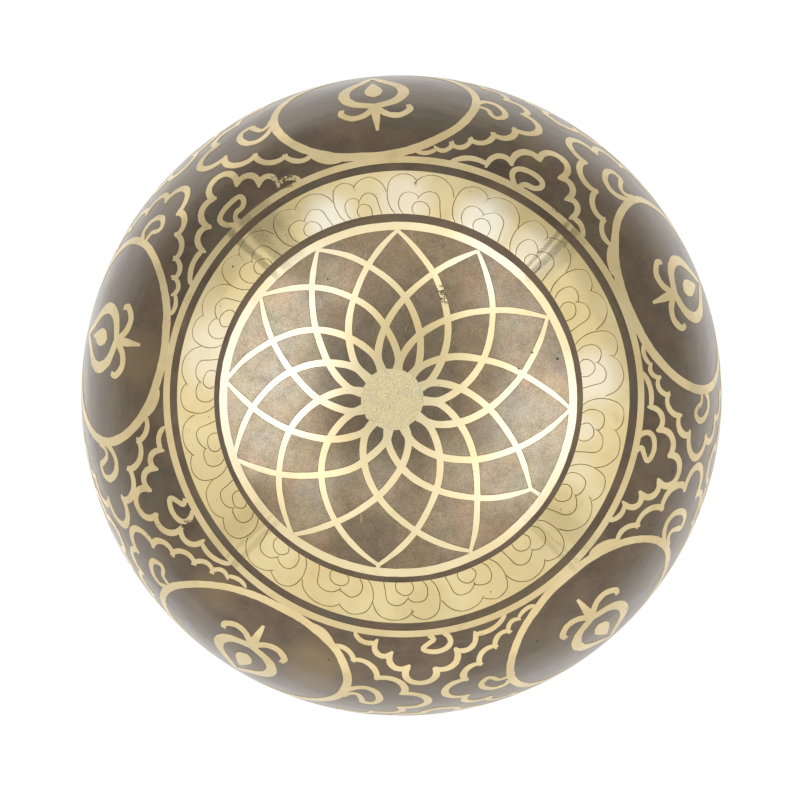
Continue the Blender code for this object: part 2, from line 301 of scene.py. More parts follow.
def outward(points, loop, i):
    """Mitred true-length outward direction at a loop point, as a layout plane vector per millimetre."""
    here = points[loop[i]]
    prev = points[loop[i - 1]]
    after = points[loop[(i + 1) % len(loop)]]
    (ex, ey), g = stretch(*here)
    dirs = []
    for a, b in ((prev, here), (here, after)):
        dx, dy = b[0] - a[0], b[1] - a[1]
        along, across = dx * ex + dy * ey, (-dx * ey + dy * ex) * g
        length = math.hypot(along, across) or 1.0
        dirs.append((along / length, across / length))
    nr = dirs[0][1] + dirs[1][1]
    nt = -(dirs[0][0] + dirs[1][0])
    length = math.hypot(nr, nt)
    if length < 1e-6:
        return 0.0, 0.0
    reach = min(1.6, 2.0 / length)
    nr, nt = nr / length * reach, nt / length * reach
    return nr * ex - nt / g * ey, nr * ey + nt / g * ex


def relief(name, polys, mat, top, skirt):
    """Raised piece with a flat top, a softened edge, sloping sides and a closed underside."""
    points, tris = union(polys)
    bm = bmesh.new()
    rim = bm.verts.layers.float.new("rim")
    used = sorted({i for t in tris for i in t})
    upper = {i: bm.verts.new(place(*points[i], top)) for i in used}
    lower = {}
    for loop in rim_loops(tris):
        rows = []
        for i, index in enumerate(loop):
            ox, oy = outward(points, loop, i)
            x, y = points[index]
            run, wall = EDGE_RUN * skirt, WALL_RUN * skirt
            edge = bm.verts.new(place(x + ox * run, y + oy * run, top + EDGE_DROP * skirt))
            foot = bm.verts.new(place(x + ox * wall, y + oy * wall, FOOT))
            edge[rim] = foot[rim] = 1.0
            lower[index] = foot
            rows.append((upper[index], edge, foot))
        for a, b in zip(rows, rows[1:] + rows[:1]):
            for i in (0, 1):
                bm.faces.new((b[i], a[i], a[i + 1], b[i + 1]))
    for i in used:
        if i not in lower:
            lower[i] = bm.verts.new(place(*points[i], FOOT))
    for t in tris:
        bm.faces.new([upper[i] for i in t])
        try:
            bm.faces.new([lower[i] for i in reversed(t)])
        except ValueError:
            pass
    bmesh.ops.recalc_face_normals(bm, faces=bm.faces)
    return finish_mesh(name, bm, [mat], SHARP_DEG)


def finish_mesh(name, bm, mats, sharp_deg):
    mesh = bpy.data.meshes.new(name)
    bm.to_mesh(mesh)
    bm.free()
    for mat in mats:
        mesh.materials.append(mat)
    mesh.shade_smooth()
    mesh.set_sharp_from_angle(angle=math.radians(sharp_deg))
    return link(name, mesh)


def link(name, data):
    ob = bpy.data.objects.new(name, data)
    bpy.context.scene.collection.objects.link(ob)
    return ob


def dress(ob, node):
    """Ties a visual piece to the bowl and lets it stand for its CAD node."""
    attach(ob, "root")
    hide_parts(node)


# ---- materials

class Nodes:
    """Short calls for building one node tree."""

    def __init__(self, tree):
        self.tree = tree
        self.tree.nodes.clear()

    def fill(self, node, **inputs):
        for key, value in inputs.items():
            self.put(node.inputs[key.replace("_", " ")], value)
        return node

    def add(self, kind, *values, **inputs):
        node = self.tree.nodes.new(kind)
        for socket, value in zip(node.inputs, values):
            self.put(socket, value)
        return self.fill(node, **inputs)

    def put(self, socket, value):
        if isinstance(value, bpy.types.NodeSocket):
            self.tree.links.new(value, socket)
        elif isinstance(value, tuple) and len(value) == 3 and socket.type == "RGBA":
            socket.default_value = (*value, 1.0)
        else:
            socket.default_value = value

    def math(self, op, *values, clamp=False):
        node = self.add("ShaderNodeMath", *values)
        node.operation = op
        node.use_clamp = clamp
        return node.outputs[0]

    def plus(self, a, b):
        return self.math("ADD", a, b)

    def minus(self, a, b):
        return self.math("SUBTRACT", a, b)

    def times(self, a, b):
        return self.math("MULTIPLY", a, b)

    def vector(self, op, *values):
        node = self.add("ShaderNodeVectorMath", *values)
        node.operation = op
        return node.outputs["Value" if op == "LENGTH" else "Vector"]

    def xyz(self, where):
        """The three parts of a vector."""
        return self.add("ShaderNodeSeparateXYZ", where).outputs

    def layer(self, name):
        """Value of a vertex layer of the mesh."""
        node = self.add("ShaderNodeAttribute")
        node.attribute_name = name
        return node.outputs["Fac"]

    def ramp(self, value, low, high, out_low=0.0, out_high=1.0):
        node = self.add("ShaderNodeMapRange", value, low, high, out_low, out_high)
        node.interpolation_type = "SMOOTHSTEP"
        return node.outputs["Result"]

    def mix(self, factor, a, b, blend="MIX"):
        node = self.add("ShaderNodeMix")
        node.data_type = "RGBA"
        node.blend_type = blend
        return self.fill(node, Factor=factor, A=a, B=b).outputs["Result"]

    def choose(self, factor, a, b):
        """Shader a, or shader b where the factor is 1."""
        return self.add("ShaderNodeMixShader", factor, a.outputs[0], b.outputs[0]).outputs[0]

    def veil(self, tone, mask, low, high, most, color, blend="MIX"):
        """Lays a colour over, up to the share most, as a mask goes from low to high."""
        return self.mix(self.ramp(mask, low, high, 0.0, most), tone, color, blend)

    def noise(self, where, scale, detail=3.0, rough=0.55, distort=0.0):
        node = self.add("ShaderNodeTexNoise", Vector=where, Scale=scale, Detail=detail, Roughness=rough,
                        Distortion=distort)
        return node.outputs["Fac"]

    def spots(self, where, scale, size, share):
        """Round specks of about the given size in a share of the cells."""
        node = self.add("ShaderNodeTexVoronoi", Vector=where, Scale=scale)
        pick = self.add("ShaderNodeSeparateColor", node.outputs["Color"])
        chosen = self.math("LESS_THAN", pick.outputs[0], share)
        near = self.minus(self.times(pick.outputs[1], size), node.outputs["Distance"])
        return self.times(chosen, self.ramp(near, 0.0, size * 0.25))

    def millimetres(self):
        coords = self.add("ShaderNodeTexCoord").outputs["Object"]
        return self.vector("MULTIPLY", coords, (1000.0, 1000.0, 1000.0))

    def flat(self, where, shift=(0.0, 0.0)):
        """Plan vector from a point of the plan, its length, and its azimuth in degrees."""
        east, north, _ = self.xyz(where)
        x, y = self.minus(east, shift[0]), self.minus(north, shift[1])
        plan = self.add("ShaderNodeCombineXYZ", x, y).outputs[0]
        turn = self.times(self.math("ARCTAN2", y, x), 180.0 / math.pi)
        return plan, self.vector("LENGTH", plan), turn

    def outwards(self, plan, length):
        """Vector of the given length that points away from the axis."""
        node = self.add("ShaderNodeVectorMath", self.vector("NORMALIZE", plan))
        node.operation = "SCALE"
        return self.fill(node, Scale=length).outputs[0]

    def domed(self, where):
        """Normal of a base that swells very slightly outside, more towards the engraved band."""
        plan, reach, _ = self.flat(where)
        lean = self.times(self.ramp(reach, 0.0, 33.0, 0.0, 0.09), self.ramp(reach, 34.0, 46.0, 1.0, 0.0))
        normal = self.add("ShaderNodeNewGeometry").outputs["Normal"]
        return self.vector("NORMALIZE", self.vector("ADD", normal, self.outwards(plan, lean)))

    def blot(self, where, middle, size):
        """Soft round patch about a point of the plan."""
        _, reach, _ = self.flat(where, middle)
        return self.ramp(reach, size * 0.25, size, 1.0, 0.0)

    def either(self, values):
        total = values[0]
        for value in values[1:]:
            total = self.math("MAXIMUM", total, value)
        return total

    def around(self, where, along=0.06, across=1.0):
        """Coordinates drawn out round the bowl's axis, for turned and brushed marks."""
        plan, reach, _ = self.flat(where)
        spin = self.outwards(plan, self.times(reach, along))
        run = self.minus(reach, self.times(self.xyz(where)[2], 1.3))
        rise = self.add("ShaderNodeCombineXYZ", Z=self.times(run, across)).outputs[0]
        return self.vector("ADD", spin, rise)


def surface(name, **inputs):
    mat = bpy.data.materials.new(name)
    mat.use_nodes = True
    n = Nodes(mat.node_tree)
    shader = n.add("ShaderNodeBsdfPrincipled", **inputs)
    out = n.add("ShaderNodeOutputMaterial", Surface=shader.outputs[0])
    return mat, n, shader, out


def bump(n, height, strength, distance_mm, under=None):
    node = n.add("ShaderNodeBump", Height=height, Strength=strength, Distance=distance_mm * MM)
    if under is not None:
        n.fill(node, Normal=under)
    return node.outputs[0]


def seam_reflections(n, mm, fine):
    """Radial bars of grainy, painted dark reflection across the band: the mirrored seams of the light tent.
    """
    _, reach, turn = n.flat(mm)
    sway = n.ramp(n.noise(mm, 0.5, 2.0), 0.2, 0.8, -0.22, 0.22)
    speckle = n.ramp(n.noise(mm, 5.5, 3.0, 0.7), 0.34, 0.6, 0.35, 1.0)
    grain = n.times(speckle, n.ramp(fine, 0.3, 0.7, 0.7, 1.0))
    bars = []
    for az, half, weight in SEAM_REFLECTIONS:
        gap = n.math("ABSOLUTE", n.minus(turn, n.plus(az, sway)))
        bars.append(n.times(n.ramp(gap, 0.35 * half, half, 1.0, 0.0), weight))
    span = n.times(n.ramp(reach, 31.5, 36.0), n.ramp(reach, 46.0, 49.0, 1.0, 0.0))
    return n.times(n.times(n.either(bars), grain), span)


def patched(n, mm, tone, patches, color):
    """Mixes a colour in over soft round patches of (x, y, size, strength)."""
    for x, y, size, much in patches:
        tone = n.mix(n.times(n.blot(mm, (x, y), size), much), tone, color)
    return tone


def brass(name, light, deep, rough, tarnish, pits, turned=0.25, worn=(), painted_highlights=(), darker_patches=(), fringe=0.15):
    """Bright worn brass: tarnish, dull blotches, fine turning marks, pits, rubbed-through places, painted
    reflections.
    """
    mat, n, shader, _ = surface(name, Metallic=1.0)
    mm = n.millimetres()
    slow = n.noise(mm, 0.075, 3.0)
    mid = n.noise(mm, 0.3, 4.0, 0.6)
    fine = n.noise(mm, 3.2, 4.0, 0.7)
    marks = n.noise(n.around(mm), 2.4, 3.0, 0.7)
    tone = n.mix(n.ramp(slow, 0.35, 0.68), light, deep)
    tone = n.veil(tone, mid, 0.55, 0.82, tarnish, (0.66 * deep[0], 0.64 * deep[1], 0.6 * deep[2]))
    tone = n.veil(tone, fine, 0.56, 0.8, 0.2 * tarnish + 0.06, (0.34, 0.29, 0.17))
    # Darker patches: painted shade on the band, duller places on the lotus lines.
    tone = patched(n, mm, tone, darker_patches, (0.56, 0.455, 0.235))
    # Painted highlights: paler patches where the metal mirrors bright parts of the tent.
    tone = patched(n, mm, tone, painted_highlights, (0.96, 0.9, 0.76))
    _, near_hub, _ = n.flat(mm, DISC_OFFSET)
    # Duller and darker close to the middle disc.
    dull_near_hub = n.times(n.ramp(near_hub, 6.0, 12.0, 0.55, 0.0), n.ramp(fine, 0.35, 0.65, 0.35, 1.0))
    tone = n.mix(dull_near_hub, tone, (0.5, 0.45, 0.3))
    dark = n.either([n.spots(mm, 0.36, 0.11, pits * 3.0), n.spots(mm, 1.3, 0.16, pits)])
    if worn:
        places = n.either([n.blot(mm, (x, y), size) for x, y, size in worn])
        ragged = n.plus(n.noise(mm, 1.5, 4.0, 0.7), n.times(places, 0.16))
        dark = n.either([dark, n.times(n.ramp(ragged, 0.62, 0.68), places)])
    tone = n.mix(n.times(dark, 0.85), tone, (0.07, 0.05, 0.03))
    # Painted dark reflections of the tent's seams, laid into the band's colour.
    tone = n.mix(n.times(seam_reflections(n, mm, fine), 0.8), tone, (0.1, 0.088, 0.045))
    ink = n.times(n.ramp(n.layer("cut"), 0.15, 0.75, 0.0, 0.8), n.ramp(mid, 0.3, 0.6, 0.55, 1.0))
    tone = n.mix(ink, tone, (0.075, 0.05, 0.022))
    tone = n.veil(tone, n.layer("rim"), 0.0, 1.0, fringe, (0.26, 0.15, 0.055))
    base = n.plus(rough, n.times(n.ramp(fine, 0.3, 0.75), 0.08))
    base = n.plus(base, n.times(n.ramp(mid, 0.5, 0.8), 0.14 * tarnish))
    normal = bump(n, fine, 0.3, 0.012, bump(n, marks, turned, 0.012, n.domed(mm)))
    n.fill(shader, Base_Color=tone, Roughness=n.math("ADD", base, n.times(dark, 0.3), clamp=True),
           Normal=bump(n, n.minus(1.0, dark), 0.8, 0.08, normal))
    return mat


def rubbed(n, mm, cloud, grit):
    """Paler, rubbed patina inside the lotus ring, with painted highlights and shade, grain, faint tints and
    a few scratches.
    """
    _, near_hub, _ = n.flat(mm, DISC_OFFSET)
    dust = n.noise(mm, 6.5, 2.0, 0.8)
    # Darker towards the hub, paler outwards.
    tone = n.mix(n.ramp(near_hub, 6.0, 22.0), DIM_BASE_TONE, WORN_OUTER)
    # Darker and brighter patches: partly patina and wear, partly painted shade and painted highlights.
    tone = patched(n, mm, tone, DARKER_PATINA_AND_SHADE, DIM_BASE_TONE)
    tone = patched(n, mm, tone, RUBBED_PLACES_AND_HIGHLIGHTS, PALE_WEAR_AND_HIGHLIGHT)
    for scale, shift, tint in TINTS:
        where = n.vector("ADD", mm, (shift, 0.0, 0.0))
        tone = n.veil(tone, n.noise(where, scale, 4.0, 0.55, 0.4), 0.46, 0.64, 1.0, tint, "MULTIPLY")
    for mask, low, high, most, tint in (
            (cloud, 0.42, 0.74, 0.8, (0.8, 0.79, 0.78)),
            (n.noise(mm, 0.45, 5.0, 0.7), 0.56, 0.4, 0.8, (0.84, 0.83, 0.8)),
            (grit, 0.5, 0.76, 0.9, (1.3, 1.28, 1.26)),
            (grit, 0.5, 0.28, 0.9, (0.7, 0.68, 0.66)),
            (dust, 0.52, 0.68, 1.0, (1.42, 1.4, 1.38)),
            (dust, 0.48, 0.32, 1.0, (0.54, 0.52, 0.5))):
        tone = n.veil(tone, mask, low, high, most, tint, "MULTIPLY")
    scratch = n.noise(n.vector("MULTIPLY", mm, (0.9, 0.09, 1.0)), 2.2, 2.0, 0.5)
    return n.veil(tone, scratch, 0.7, 0.76, 0.35, PALE_WEAR_AND_HIGHLIGHT)


def patina(name):
    """Blackened, etched-back ground: warm brown, cloudy and brushed; rubbed paler inside the lotus ring,
    with painted highlights and shade there.
    """
    mat, n, shader, _ = surface(name, Metallic=0.9, Coat_Weight=0.7, Coat_Roughness=0.22)
    mm = n.millimetres()
    slow = n.noise(mm, 0.05, 4.0, 0.6, 0.6)
    cloud = n.noise(mm, 0.16, 5.0, 0.62, 0.4)
    grit = n.noise(mm, 2.6, 4.0, 0.75)
    marks = n.noise(n.around(mm, 0.05, 1.0), 1.5, 4.0, 0.7)
    streak = n.noise(n.around(mm, 0.02, 0.45), 1.0, 4.0, 0.65)
    tone = n.mix(n.ramp(cloud, 0.33, 0.7), PATINA_DEEP, PATINA_LIGHT)
    tone = n.veil(tone, slow, 0.54, 0.76, 0.75, PATINA_OLIVE)
    tone = n.veil(tone, n.noise(mm, 0.085, 3.0, 0.5, 0.9), 0.6, 0.8, 0.6, PATINA_RUST)
    tone = n.veil(tone, n.noise(mm, 0.07, 3.0, 0.6, 0.8), 0.5, 0.72, 0.7, PATINA_GREEN)
    tone = n.veil(tone, streak, 0.45, 0.75, 0.45, PATINA_OLIVE)
    tone = patched(n, mm, tone, SMUDGES, (0.25, 0.17, 0.08))
    tone = n.veil(tone, grit, 0.52, 0.8, 0.5, PATINA_BARE)
    tone = n.veil(tone, marks, 0.52, 0.82, 0.4, PATINA_BARE)
    _, reach, _ = n.flat(mm, RING_OFFSET)
    on_base = n.ramp(n.xyz(mm)[2], 1.0, 2.0, 1.0, 0.0)
    tone = n.mix(n.times(n.ramp(reach, 33.2, 33.8, 1.0, 0.0), on_base), tone, rubbed(n, mm, cloud, grit))
    pitted = n.mix(n.times(n.spots(mm, 0.27, 0.09, 0.3), 0.9), tone, (0.02, 0.015, 0.01))
    normal = bump(n, grit, 0.4, 0.02, bump(n, marks, 0.3, 0.02, n.domed(mm)))
    n.fill(shader, Base_Color=pitted, Roughness=n.ramp(cloud, 0.3, 0.7, 0.32, 0.44), Normal=normal,
           Coat_Normal=normal)
    return mat


def frosted(name):
    """Finely peened metal of the middle disc: bright grains in a dull greenish gold."""
    mat, n, shader, _ = surface(name, Metallic=1.0, Roughness=0.48)
    mm = n.millimetres()
    grain = n.noise(mm, 3.4, 5.0, 0.8, 0.6)
    patch = n.noise(mm, 0.4, 5.0, 0.7)
    tone = n.mix(n.ramp(patch, 0.4, 0.64), (0.72, 0.605, 0.35), (0.62, 0.555, 0.36))
    tone = n.veil(tone, grain, 0.52, 0.66, 0.8, (0.3, 0.25, 0.14))
    tone = n.veil(tone, grain, 0.49, 0.36, 0.75, (0.94, 0.86, 0.64))
    n.fill(shader, Base_Color=tone, Normal=bump(n, grain, 0.7, 0.05))
    return mat


def turned_inside(name):
    """Inside and rim: satin turned bell metal with fine rings left by the lathe."""
    mat, n, shader, _ = surface(name, Metallic=1.0)
    mm = n.millimetres()
    slow = n.noise(mm, 0.05, 3.0)
    rings = n.noise(n.around(mm, 0.012, 1.0), 1.1, 5.0, 0.75)
    fine = n.noise(mm, 2.2, 4.0, 0.7)
    tone = n.mix(n.ramp(slow, 0.3, 0.7), (0.76, 0.6, 0.32), (0.66, 0.48, 0.24))
    tone = n.veil(tone, rings, 0.5, 0.8, 0.45, (0.42, 0.3, 0.15))
    tone = n.veil(tone, fine, 0.62, 0.82, 0.3, (0.35, 0.27, 0.15))
    n.fill(shader, Base_Color=tone, Roughness=n.ramp(rings, 0.25, 0.75, 0.24, 0.38),
           Normal=bump(n, fine, 0.25, 0.015, bump(n, rings, 0.5, 0.05)))
    return mat


PATINA_DEEP = (0.084, 0.054, 0.031)
PATINA_LIGHT = (0.142, 0.096, 0.055)
PATINA_OLIVE = (0.165, 0.122, 0.058)
PATINA_RUST = (0.14, 0.078, 0.04)
PATINA_GREEN = (0.098, 0.088, 0.058)
PATINA_BARE = (0.24, 0.185, 0.11)
# Smudges of brown on the dark wall: x, y, size and strength.
SMUDGES = ((-18.0, 53.0, 8.0, 0.55), (-37.0, 38.0, 7.0, 0.4), (-51.0, -7.0, 8.0, 0.3))
DIM_BASE_TONE = (0.122, 0.093, 0.055)
WORN_OUTER = (0.282, 0.209, 0.127)
PALE_WEAR_AND_HIGHLIGHT = (0.62, 0.53, 0.395)
# Faint rose, blue and green casts of the rubbed patina: noise scale, noise shift and tint.
TINTS = ((0.11, 0.0, (1.1, 0.99, 0.94)), (0.09, 40.0, (0.95, 1.0, 1.09)), (0.14, 80.0, (0.97, 1.0, 0.91)))
# Brighter and darker places on the base, partly rubbed patina, partly painted highlights and painted shade:
# x, y, size and strength.
RUBBED_PLACES_AND_HIGHLIGHTS = (
    (-28.5, -3.0, 19.0, 1.0), (-23.0, -16.0, 10.0, 1.0), (-27.0, 10.0, 9.0, 0.75),
    (-18.0, 13.0, 9.0, 0.45), (29.0, 4.0, 17.0, 0.9), (23.5, -12.0, 9.0, 0.5), (21.5, 16.0, 10.0, 0.6),
    (12.5, 14.0, 10.0, 0.35), (20.0, -22.0, 11.0, 0.35), (-13.5, -23.0, 8.0, 0.4),
    (-5.0, 15.5, 8.0, 0.25), (11.0, 25.0, 9.0, 0.25), (-17.0, 22.0, 8.0, 0.25))
DARKER_PATINA_AND_SHADE = (
    (-8.0, 30.0, 12.0, 0.65), (2.0, -14.0, 15.0, 0.6), (-13.0, -4.0, 10.0, 0.9), (8.0, 31.0, 10.0, 0.35),
    (-4.0, 10.0, 8.0, 0.4))
# Band: painted highlights and painted shade; lotus lines: painted highlights and dull places; in the same
# way.
BAND_PAINTED_HIGHLIGHTS = (
    (-14.2, -34.5, 7.0, 0.9), (0.0, -38.5, 8.0, 0.6), (15.5, -34.0, 8.0, 0.9), (25.0, -28.0, 7.0, 0.55),
    (37.0, -4.0, 8.0, 0.7), (-36.0, -9.0, 11.0, 0.5), (33.0, 14.0, 6.0, 0.25), (35.0, 6.0, 4.0, 0.5))
BAND_PAINTED_SHADE = (
    (-32.0, 22.0, 10.0, 0.55), (-36.5, 13.0, 8.0, 0.45), (31.0, 25.0, 10.0, 0.45), (24.0, 34.0, 8.0, 0.3),
    (5.0, 43.0, 9.0, 0.3), (-24.0, -33.0, 7.0, 0.4))
LOTUS_PAINTED_HIGHLIGHTS = (
    (-29.0, -3.0, 22.0, 0.9), (29.0, 4.0, 17.0, 0.8), (17.0, -26.0, 12.0, 0.6), (-17.0, -22.0, 12.0, 0.5),
    (22.0, 18.0, 10.0, 0.5))
LOTUS_DULL = ((2.0, -12.0, 15.0, 0.8), (-8.0, 8.0, 11.0, 0.3), (-22.0, 26.0, 9.0, 0.3))
# Radial bars of painted dark reflection across the band, the mirrored seams of the light tent: azimuth and
# half width in degrees, strength.
SEAM_REFLECTIONS = (
    (-136.2, 1.5, 0.9), (-131.3, 2.9, 0.85), (-127.5, 5.0, 0.6), (-46.5, 0.9, 0.8), (-43.8, 1.7, 0.9),
    (-41.5, 3.0, 0.35), (137.8, 0.8, 0.35), (135.2, 1.3, 0.4), (43.2, 0.7, 0.3), (45.0, 1.2, 0.35),
    (38.0, 4.0, 0.25), (142.0, 4.0, 0.22))
# Places where the bright lines are rubbed through: x, y and size.
LOTUS_WORN = ((7.7, -19.9, 3.0), (5.8, -11.3, 2.4))
LINE_WORN = ((-23.5, -42.5, 4.2), (30.5, -37.0, 2.4), (-42.0, 25.0, 2.2))

BAND = brass("petal_band_brass", (0.8, 0.675, 0.385), (0.73, 0.59, 0.3), rough=0.12, tarnish=0.35,
             pits=0.09, turned=0.12, painted_highlights=BAND_PAINTED_HIGHLIGHTS, darker_patches=BAND_PAINTED_SHADE)
LINE = brass("line_brass", (0.735, 0.605, 0.35), (0.665, 0.53, 0.285), rough=0.19, tarnish=0.4, pits=0.04,
             worn=LINE_WORN)
LOTUS = brass("lotus_brass", (0.83, 0.715, 0.46), (0.77, 0.64, 0.38), rough=0.13, tarnish=0.3, pits=0.05,
              turned=0.06, worn=LOTUS_WORN, painted_highlights=LOTUS_PAINTED_HIGHLIGHTS, darker_patches=LOTUS_DULL, fringe=0.8)
LIP = brass("lip_brass", (0.75, 0.61, 0.34), (0.66, 0.51, 0.26), rough=0.2, tarnish=0.3, pits=0.03,
            turned=0.5)
DARK = patina("etched_ground")
DISC = frosted("peened_disc")
INSIDE = turned_inside("turned_bronze")


# ---- bowl body

SPIN = 384


def spun(name, points, mats, sharp_deg):
    """Body of revolution through (s, depth, material slot of the strip that ends there)."""
    bm = bmesh.new()
    rows = []
    for s, depth, _ in points:
        r, z, _ = profile(s, depth)
        ring = [polar(r * MM, math.tau * k / SPIN) for k in range(SPIN if s > 0.0 else 1)]
        rows.append([bm.verts.new((x, y, z * MM)) for x, y in ring])
    strips = list(zip(rows, rows[1:] + rows[:1], points[1:] + points[:1]))
    if points[0][0] == 0.0:
        strips.pop()
    for a, b, (_, _, slot) in strips:
        for k in range(SPIN):
            m = (k + 1) % SPIN
            quad = [a[k % len(a)], a[m % len(a)], b[m % len(b)], b[k % len(b)]]
            face = bm.faces.new([v for i, v in enumerate(quad) if v not in quad[:i]])
            face.material_index = slot
    bmesh.ops.recalc_face_normals(bm, faces=bm.faces)
    return finish_mesh(name, bm, mats, sharp_deg)


# Beyond this length of the profile the body shows bare turned metal.
BRIGHT_FROM = 100.4


def bowl_body():
    """Etched ground outside, rounded rim, turned inside."""
    points = [(0.0, GROUND, 0)]
    s = 1.0
    while s < TOP_S - RIM_ROUND:
        points.append((s, ground_depth(s), int(s >= BRIGHT_FROM)))
        s += 1.0 if s < BASE_R else 0.7
    for turns, depth, way in ((range(0, 91, 15), GROUND, 1.0), (range(90, -1, -15), INNER_DEPTH, -1.0)):
        for t in map(math.radians, turns):
            s = TOP_S - RIM_ROUND * (1.0 - math.sin(t))
            points.append((s, depth + way * RIM_ROUND * (1.0 - math.cos(t)), 1))
    s = TOP_S - RIM_ROUND - 0.9
    while s > 2.0:
        points.append((s, INNER_DEPTH, 1))
        s -= 0.9 if s > BASE_R else 2.0
    points.append((0.0, INNER_DEPTH, 1))
    body = spun("bowl_body", points, [DARK, INSIDE], 35.0)
    for v in body.data.vertices:
        r = math.hypot(v.co.x, v.co.y) / MM
        hollow = 0.035 * noise.noise(v.co * 260.0) + 0.02 * noise.noise(v.co * 900.0)
        away = Vector((v.co.x, v.co.y, 0.0)).normalized() if r > BASE_R else Vector((0.0, 0.0, -1.0))
        v.co -= away * (hollow * MM * (0.25 if v.co.z > 30.0 * MM else 1.0))
    return body


LIP_EDGES = (91.4, 100.6)
LIP_LINES = (93.2, 99.2)


def lip_band():
    """Bright band under the rim, with two turned lines."""
    low, high = LIP_EDGES
    points = [(low, FOOT, 0), (low + 0.04, EDGE_DROP, 0)]
    s = low + 0.1
    while s < high - 0.1:
        gap = min(abs(s - line) for line in LIP_LINES)
        points.append((s, 0.14 * max(0.0, 1.0 - gap / 0.22), 0))
        s += 0.11 if gap < 0.4 else 0.5
    points += [(high - 0.04, EDGE_DROP, 0), (high, FOOT, 0)]
    return spun("lip_band_look", points, [LIP], 60.0)


# ---- engraved band

PETALS = 19
CRAMPED_PETAL = 13
BAND_L = math.tau * LAYOUT_R
BAND_W = 8.2
GROOVE_HALF = 0.11
GROOVE_DEPTH = 0.1
# A petal's lines: share of its pitch, share of the band's width.
PETAL_OUTER = (
    (0.1, 0.0), (0.035, 0.14), (0.0, 0.36), (0.012, 0.58), (0.06, 0.78), (0.15, 0.9), (0.26, 0.925),
    (0.36, 0.875), (0.43, 0.78))
PETAL_OUTER_2 = (
    (0.425, 0.76), (0.49, 0.86), (0.6, 0.93), (0.74, 0.93), (0.86, 0.84), (0.94, 0.7), (0.985, 0.55))
PETAL_MIDDLE = (
    (0.23, 0.0), (0.175, 0.13), (0.17, 0.3), (0.215, 0.44), (0.3, 0.5), (0.4, 0.47), (0.47, 0.4))
PETAL_MIDDLE_2 = (
    (0.465, 0.38), (0.53, 0.49), (0.62, 0.55), (0.72, 0.53), (0.79, 0.42), (0.82, 0.22), (0.86, 0.0))
PETAL_INNER = (
    (0.42, 0.0), (0.38, 0.1), (0.4, 0.22), (0.47, 0.3), (0.56, 0.3), (0.64, 0.22), (0.67, 0.1),
    (0.66, 0.0))


def band_edges(az):
    """Inner and outer edge of the engraved band, which was laid out by eye."""
    inner = 35.84 + 0.83 * math.cos(az - math.radians(170.0))
    outer = 44.1 + 0.15 * math.cos(az + math.radians(30.0))
    return inner, outer


def band_point(x, v):
    az = x / LAYOUT_R
    inner, outer = band_edges(az)
    return polar(inner + (outer - inner) * v, az)


def petal_lines():
    """Engraved lines round the band as paths of (x, v), where v runs from 0 to 1 across it."""
    rng = random.Random(19)
    widths = [1.0 + rng.uniform(-0.07, 0.07) for _ in range(PETALS)]
    widths[CRAMPED_PETAL] = 0.78
    total = sum(widths)
    lines, x0 = [], 0.3
    for width in widths:
        pitch = width / total * (BAND_L - 0.6)
        lean = rng.uniform(-0.02, 0.02)
        tall = rng.uniform(0.94, 1.02)
        for shape in (PETAL_OUTER, PETAL_OUTER_2, PETAL_MIDDLE, PETAL_MIDDLE_2, PETAL_INNER):
            jogs = [rng.uniform(-0.012, 0.012) * (v > 0) for _, v in shape]
            key = [((u + lean * v) * pitch, (v * tall + jog) * BAND_W) for (u, v), jog in zip(shape, jogs)]
            lines.append([(x0 + x, min(max(y / BAND_W, 0.0), 1.0)) for x, y in smooth(key, 0.5)])
        x0 += pitch
    return lines


def groove_finder(lines):
    """Tree of closely spaced points of the engraved lines, in the layout plane."""
    near = []
    for line in lines:
        for (ax, av), (bx, bv) in zip(line, line[1:]):
            for k in range(6):
                near.append(band_point(ax + (bx - ax) * k / 6, av + (bv - av) * k / 6))
        near.append(band_point(*line[-1]))
    tree = KDTree(len(near))
    for i, p in enumerate(near):
        tree.insert((*p, 0.0), i)
    tree.balance()
    return tree


def band_mesh(lines, tree):
    """Triangles of the unrolled band, in (x, BAND_W v), with edges along each groove's sides and middle."""
    points, edges = [], []
    for line in lines:
        for side in (-1.0, 0.0, 1.0):
            first = len(points)
            for i, (x, v) in enumerate(line):
                ax, av = line[max(0, i - 1)]
                bx, bv = line[min(len(line) - 1, i + 1)]
                grow = profile(band_edges(x / LAYOUT_R)[0] + BAND_W * v)[0] / LAYOUT_R
                tx, ts = (bx - ax) * grow, (bv - av) * BAND_W
                length = math.hypot(tx, ts) or 1.0
                off = side * GROOVE_HALF
                if v <= 0.0 or v >= 1.0:
                    px, pv = x + off / grow, v * BAND_W
                else:
                    px, pv = x - ts / length * off / grow, v * BAND_W + tx / length * off
                points.append(Vector((px, min(max(pv, 0.0), BAND_W))))
                if i:
                    edges.append((first + i - 1, first + i))
    cols, rows = 300, 7
    for j in range(rows + 1):
        for i in range(cols + 1):
            x, v = BAND_L * i / cols, j / rows
            if 0 < j < rows and 0 < i < cols and tree.find((*band_point(x, v), 0.0))[2] < 0.45:
                continue
            points.append(Vector((x, v * BAND_W)))
    corner = len(points)
    points += map(Vector, ((0.0, 0.0), (BAND_L, 0.0), (BAND_L, BAND_W), (0.0, BAND_W)))
    edges += [(corner + k, corner + (k + 1) % 4) for k in range(4)]
    verts, _, tris, _, _, _ = delaunay_2d_cdt(points, edges, [], 0, 1e-4, False)
    return verts, tris


